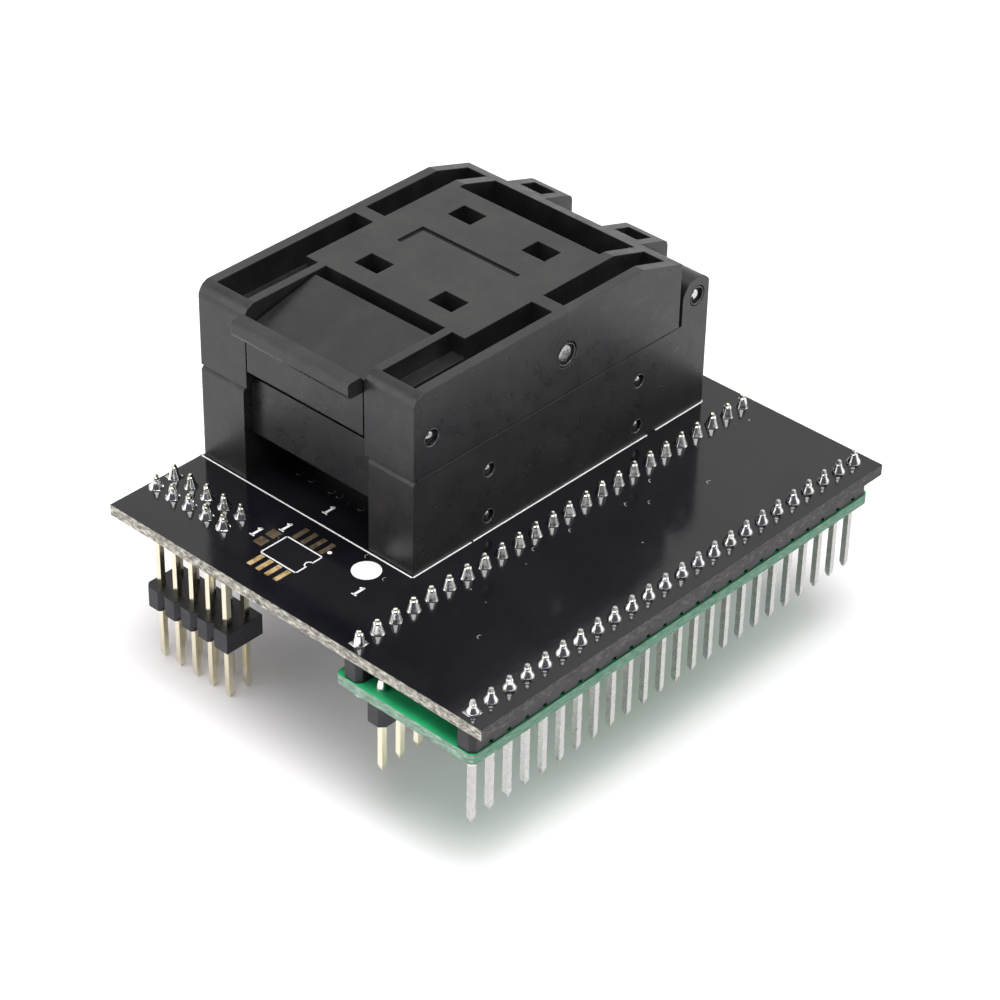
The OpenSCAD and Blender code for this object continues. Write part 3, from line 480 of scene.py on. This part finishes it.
def square_foot(bm, x, y, half=0.74):
    """The square foot under the joint of a header's first pin."""
    corners = [(x - half, y - half), (x + half, y - half), (x + half, y + half), (x - half, y + half)]
    slab(bm, corners, height=0.06)


def joints(name, cad_name, places, first_pin, profile, lean, lobes):
    """A header's soldered joints, with a square foot under its first pin's."""
    bm = bmesh.new()
    square_foot(bm, *first_pin)
    for x, y in places:
        soldered(bm, x, y, profile, lean, lobes)
    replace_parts(piece(name, bm, "solder"), cad_name)


def row(y):
    return [(i * PITCH, y) for i in range(ROW_PINS)]


def side_places():
    low = box_of("side_header_pins")[0]
    x0, y0 = low[0] + HALF_PIN, low[1] + HALF_PIN
    return [(x0 + i * PITCH, y0 + j * PITCH) for i in range(SIDE_COLUMNS) for j in range(SIDE_ROWS)]


def all_joints():
    near, far, side = row(0), row(FAR_ROW), side_places()
    joints("near_joints", "near_solder_joints", near, near[0], DOME, lean=0.03, lobes=0.0)
    joints("far_joints", "far_solder_joints", far, far[0], CONE, lean=0.05, lobes=0.03)
    joints("side_joints", "side_solder_joints", side, side[-1], TENT, lean=0.05, lobes=0.07)


# ---------------------------------------------------------------- pin ends
def cut_end(bm, x, y, z, radius, rise, sides=12, steps=3):
    """A shallow dome on top of a pin."""
    rings = []
    for i in range(steps):
        angle = math.pi / 2 * i / steps
        reach, height = radius * math.cos(angle), z + rise * math.sin(angle)
        rings.append([bm.verts.new(at(x + reach * math.cos(TURN * u / sides),
                                      y + reach * math.sin(TURN * u / sides), height))
                      for u in range(sides)])
    skin(bm, rings)
    peak = bm.verts.new(at(x, y, z + rise))
    for u in range(sides):
        bm.faces.new((rings[-1][u], rings[-1][(u + 1) % sides], peak))


def far_pin_tips():
    """Bright cut ends on the far row's pins, each a little off its middle."""
    pin_top, rise, off = 1.5, 0.13, 0.03
    bm = bmesh.new()
    for x, y in row(FAR_ROW):
        cut_end(bm, x + random.uniform(-off, off), y + random.uniform(-off, off), pin_top,
                random.uniform(0.19, 0.24), rise)
    piece("far_pin_tips", bm, "gilt_tip")


# ---------------------------------------------------------------- pins across the socket
CROSS_RADIUS = 0.58


def rods(name, cad_name, places, finish, body, radius, rise, sides=24, steps=7):
    """Pins across the socket with rounded ends; places are the x and z of each axis."""
    low, high = box_of(cad_name)
    angles = [math.pi / 2 * i / steps for i in range(steps, -1, -1)]
    near_end = [(low[1] + rise * (1 - math.sin(a)), max(radius * math.cos(a), 0.01)) for a in angles]
    far_end = [(low[1] + high[1] - y, reach) for y, reach in reversed(near_end)]
    bm = bmesh.new()
    for x, z in places:
        rings = [[bm.verts.new(at(x + reach * math.cos(TURN * i / sides), y,
                                  z + reach * math.sin(TURN * i / sides))) for i in range(sides)]
                 for y, reach in near_end + far_end]
        skin(bm, rings)
        bm.faces.new(rings[0])
        bm.faces.new(rings[-1])
    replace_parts(piece(name, bm, finish, body), cad_name)


def cross_places():
    """The x and z of the four pins across the base."""
    low, high = box_of("base_cross_pins")
    return [(x, z) for x in (low[0] + CROSS_RADIUS, high[0] - CROSS_RADIUS)
            for z in (low[2] + CROSS_RADIUS, high[2] - CROSS_RADIUS)]


def all_rods():
    latch, presser, hinge = axis_of("latch_pin"), axis_of("presser_pin"), axis_of("hinge_pin")
    # the cross pins and the latch pin take the pins' steel with painted shade
    rods("cross_pins", "base_cross_pins", cross_places(), "shaded_pin_end", "carrier",
         radius=CROSS_RADIUS, rise=0.36)
    rods("latch_rod", "latch_pin", [latch], "shaded_pin_end", "lid", radius=0.66, rise=0.4)
    rods("presser_rod", "presser_pin", [presser], "steel_pin", "lid", radius=0.95, rise=0.12)
    rods("hinge_rod", "hinge_pin", [hinge], "polished", "carrier", radius=0.68, rise=0.3)


def lips(name, body, places, thick=0.06, sides=32, steps=6):
    """Smooth glossy lips round the sunk pin ends, on both sides; places are x, z and radius. They are the
    recesses' edges, in a lighter and glossier copy of the moulding, so that they show as painted highlight
    rings.
    """
    inset = 0.05
    low, high = box_of("socket_base")
    bm = bmesh.new()
    for x, z, radius in places:
        for y in (low[1] + inset, high[1] - inset):
            loops = []
            for i in range(sides):
                around = TURN * i / sides
                loop = []
                for j in range(steps):
                    reach = radius + thick * math.cos(TURN * j / steps)
                    loop.append(bm.verts.new(at(x + reach * math.cos(around),
                                                y + thick * math.sin(TURN * j / steps),
                                                z + reach * math.sin(around))))
                loops.append(loop)
            skin(bm, loops + loops[:1])
    piece(name, bm, "painted_highlight_lip", body)


def all_lips():
    cross_lip, hinge_lip, latch_lip, presser_lip = 0.8, 1.0, 0.98, 1.25
    base = [(x, z, cross_lip) for x, z in cross_places()]
    lips("base_pin_lips", "carrier", base + [(*axis_of("hinge_pin"), hinge_lip)])
    lips("lid_pin_lips", "lid",
         [(*axis_of("latch_pin"), latch_lip), (*axis_of("presser_pin"), presser_lip)])


# ---------------------------------------------------------------- stage
def studio():
    """White surroundings, in which gloss sees a dim patch high beyond the latch's near corner."""
    world = bpy.data.worlds.new("studio")
    world.use_nodes = True
    bpy.context.scene.world = world
    tree = world.node_tree
    light = tree.nodes["Background"]
    light.inputs["Color"].default_value = (1, 1, 1, 1)
    light.inputs["Strength"].default_value = 0.44
    seen = tree.nodes.new("ShaderNodeBackground")
    seen.inputs["Color"].default_value = (1, 1, 1, 1)
    gloss = tree.nodes.new("ShaderNodeBackground")
    tree.links.new(dim_patch(tree).outputs["Color"], gloss.inputs["Color"])
    rays = tree.nodes.new("ShaderNodeLightPath")
    shown = light
    for ray, instead in (("Is Glossy Ray", gloss), ("Is Transmission Ray", seen), ("Is Camera Ray", seen)):
        mixed = tree.nodes.new("ShaderNodeMixShader")
        tree.links.new(rays.outputs[ray], mixed.inputs["Fac"])
        tree.links.new(shown.outputs[0], mixed.inputs[1])
        tree.links.new(instead.outputs[0], mixed.inputs[2])
        shown = mixed
    tree.links.new(shown.outputs["Shader"], tree.nodes["World Output"].inputs["Surface"])


def dim_patch(tree):
    """White all round, growing dim near one fixed direction."""
    direction = tree.nodes.new("ShaderNodeTexCoord")
    nearness = tree.nodes.new("ShaderNodeVectorMath")
    nearness.operation = "DOT_PRODUCT"
    nearness.inputs[1].default_value = Vector((-0.62, -0.62, 0.48)).normalized()
    tree.links.new(direction.outputs["Generated"], nearness.inputs[0])
    shade = tree.nodes.new("ShaderNodeValToRGB")
    white, dim = shade.color_ramp.elements
    white.position = 0.3
    white.color = (1, 0.99, 0.965, 1)
    dim.position = 0.75
    dim.color = (0.1, 0.1, 0.125, 1)
    tree.links.new(nearness.outputs["Value"], shade.inputs["Fac"])
    return shade


def white_floor():
    bpy.ops.mesh.primitive_plane_add(size=3, location=(0, 0, 0))
    floor = bpy.context.object
    floor.name = "floor"
    floor.data.materials.append(material("floor_white", (0.94, 0.91, 0.929), 0.9, specular=0.0))


def lamp(name, place, size, power, aim=(0, 0, 0.02)):
    light = bpy.data.lights.new(name, "AREA")
    light.shape = "RECTANGLE"
    light.size, light.size_y = size
    light.energy = power
    holder = bpy.data.objects.new(name, light)
    bpy.context.collection.objects.link(holder)
    holder.location = place
    holder.rotation_euler = (Vector(aim) - Vector(place)).to_track_quat("-Z", "Y").to_euler()


def camera():
    """The camera looks down from beyond the latch's near corner, rolled a little."""
    lens = bpy.data.cameras.new("camera")
    lens.lens = 115.57
    lens.sensor_width = 36
    lens.clip_start = 0.01
    holder = bpy.data.objects.new("camera", lens)
    bpy.context.collection.objects.link(holder)
    eye = Vector((-0.202807, -0.184816, 0.213739))
    heading, dip = math.radians(47.66), math.radians(35.22)
    ahead = Vector((math.sin(heading) * math.cos(dip), math.cos(heading) * math.cos(dip), -math.sin(dip)))
    right = Vector((0.68249, -0.73068, 0.01737))
    right = (right - ahead * right.dot(ahead)).normalized()
    up = right.cross(ahead)
    holder.matrix_world = Matrix((
        (right.x, up.x, -ahead.x, eye.x), (right.y, up.y, -ahead.y, eye.y),
        (right.z, up.z, -ahead.z, eye.z), (0, 0, 0, 1)))
    bpy.context.scene.camera = holder


board_print()
rim_glints()
random.seed(4)
all_joints()
far_pin_tips()
all_rods()
all_lips()
bpy.context.scene.view_settings.view_transform = "Standard"
studio()
white_floor()
lamp("key", (-0.16, -0.17, 0.86), (0.5, 0.5), 8.1)
lamp("left", (-0.6, 0.3, 0.3), (0.7, 0.6), 1.8)
lamp("right", (0.5, -0.4, 0.3), (0.7, 0.6), 1.3)
camera()
